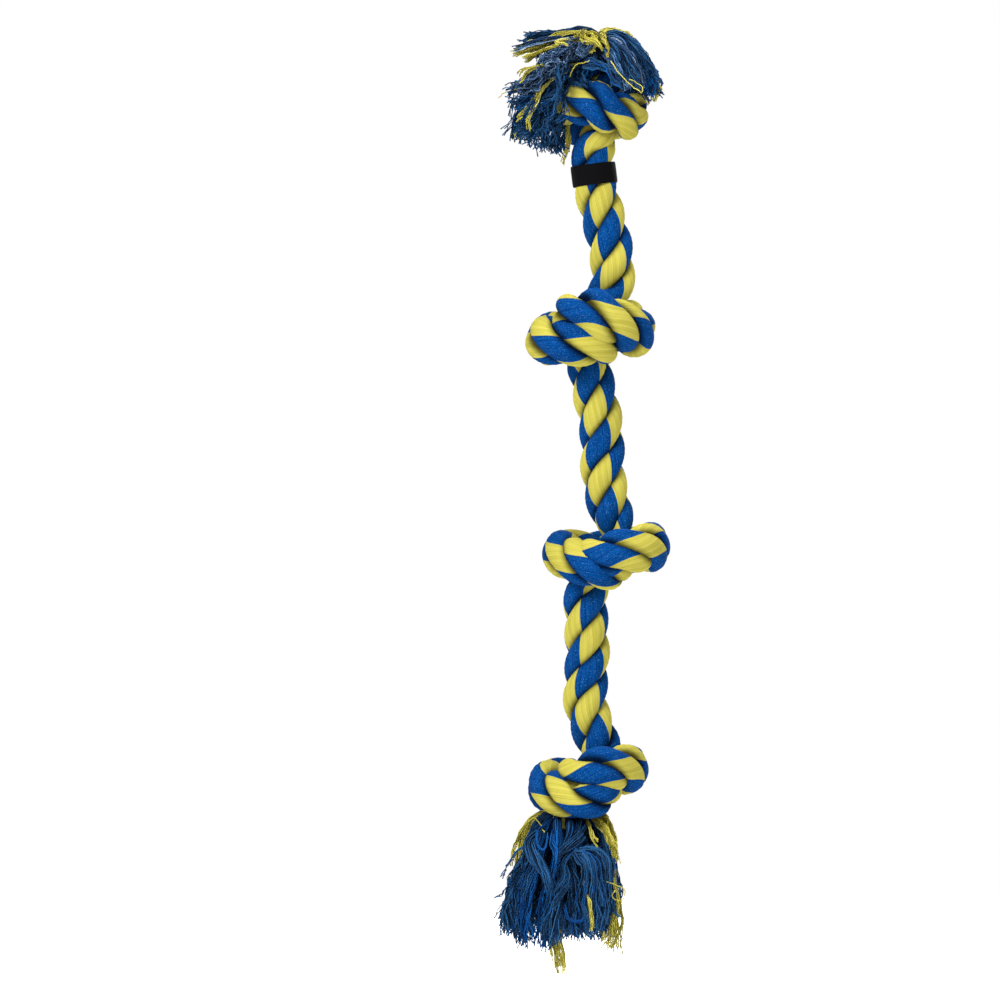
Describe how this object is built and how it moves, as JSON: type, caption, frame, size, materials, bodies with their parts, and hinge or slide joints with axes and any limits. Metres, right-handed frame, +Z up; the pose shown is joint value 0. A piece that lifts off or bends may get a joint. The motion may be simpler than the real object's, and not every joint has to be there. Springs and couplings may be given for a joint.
{
  "type": "rope dog toy",
  "caption": "Thick two-colour cotton rope tug toy for dogs, tied into overhand knots, with a combed-out yarn tassel at each end and a plain woven band.",
  "frame": {"origin": "middle line of the rope where a hand grips it, between the first and second knots", "axes": "+Z up along the hanging rope towards the top tassel, +X to the right and -Y towards the viewer"},
  "size_m": [0.1247, 0.1071, 0.6758],
  "materials": {
    "cotton_rope": "matt three-strand cotton rope, each strand half blue and half yellow-green yarn",
    "tassel_yarn": "loose matt cotton yarn, mostly blue with yellow-green locks",
    "black_webbing": "plain black woven tape, bare"
  },
  "bodies": {
    "grip": {"grip_rope": "cotton_rope", "label_band": "black_webbing"},
    "knot_1": {"knot_1": "cotton_rope"},
    "top_tassel": {"top_tassel": "tassel_yarn"},
    "knot_2": {"knot_2": "cotton_rope"},
    "upper_rope": {"upper_rope": "cotton_rope"},
    "knot_3": {"knot_3": "cotton_rope"},
    "lower_rope": {"lower_rope": "cotton_rope"},
    "knot_4": {"knot_4": "cotton_rope"},
    "bottom_tassel": {"bottom_tassel": "tassel_yarn"}
  },
  "joints": [
    {"name": "knot_1_bend", "type": "hinge", "parent": "grip", "child": "knot_1", "pos_m": [-0.01063, 0, 0.055], "axis": [0, 1, 0], "range_deg": [-20, 20], "stiffness_Nm_per_rad": 1.2, "springref_deg": 1.71, "deforming": ["grip_rope"]},
    {"name": "top_tassel_flop", "type": "hinge", "parent": "knot_1", "child": "top_tassel", "pos_m": [-0.0056, 0, 0.1336], "axis": [1, 0, 0], "range_deg": [-15, 15], "stiffness_Nm_per_rad": 0.3, "springref_deg": 2.81, "deforming": ["top_tassel"]},
    {"name": "knot_2_bend", "type": "hinge", "parent": "grip", "child": "knot_2", "pos_m": [0.00179, 0, -0.014], "axis": [0, 1, 0], "range_deg": [-25, 25], "stiffness_Nm_per_rad": 1.2, "springref_deg": 4.18, "deforming": ["grip_rope"]},
    {"name": "upper_rope_bend", "type": "hinge", "parent": "knot_2", "child": "upper_rope", "pos_m": [-0.01069, 0, -0.11671], "axis": [1, 0, 0], "range_deg": [-40, 40], "stiffness_Nm_per_rad": 1, "springref_deg": -0.37, "deforming": ["upper_rope"]},
    {"name": "knot_3_bend", "type": "hinge", "parent": "upper_rope", "child": "knot_3", "pos_m": [-0.00051, 0, -0.16699], "axis": [0, 1, 0], "range_deg": [-40, 40], "stiffness_Nm_per_rad": 1, "springref_deg": 3.55, "deforming": ["upper_rope"]},
    {"name": "lower_rope_bend", "type": "hinge", "parent": "knot_3", "child": "lower_rope", "pos_m": [-0.01439, 0, -0.27927], "axis": [1, 0, 0], "range_deg": [-40, 40], "stiffness_Nm_per_rad": 1, "springref_deg": -0.17, "deforming": ["lower_rope"]},
    {"name": "knot_4_bend", "type": "hinge", "parent": "lower_rope", "child": "knot_4", "pos_m": [-0.00821, 0, -0.33203], "axis": [0, 1, 0], "range_deg": [-40, 40], "stiffness_Nm_per_rad": 1, "springref_deg": 2.13, "deforming": ["lower_rope"]},
    {"name": "bottom_tassel_swing", "type": "hinge", "parent": "knot_4", "child": "bottom_tassel", "pos_m": [-0.0244, 0, -0.434], "axis": [1, 0, 0], "range_deg": [-30, 30], "deforming": ["bottom_tassel"]}
  ]
}
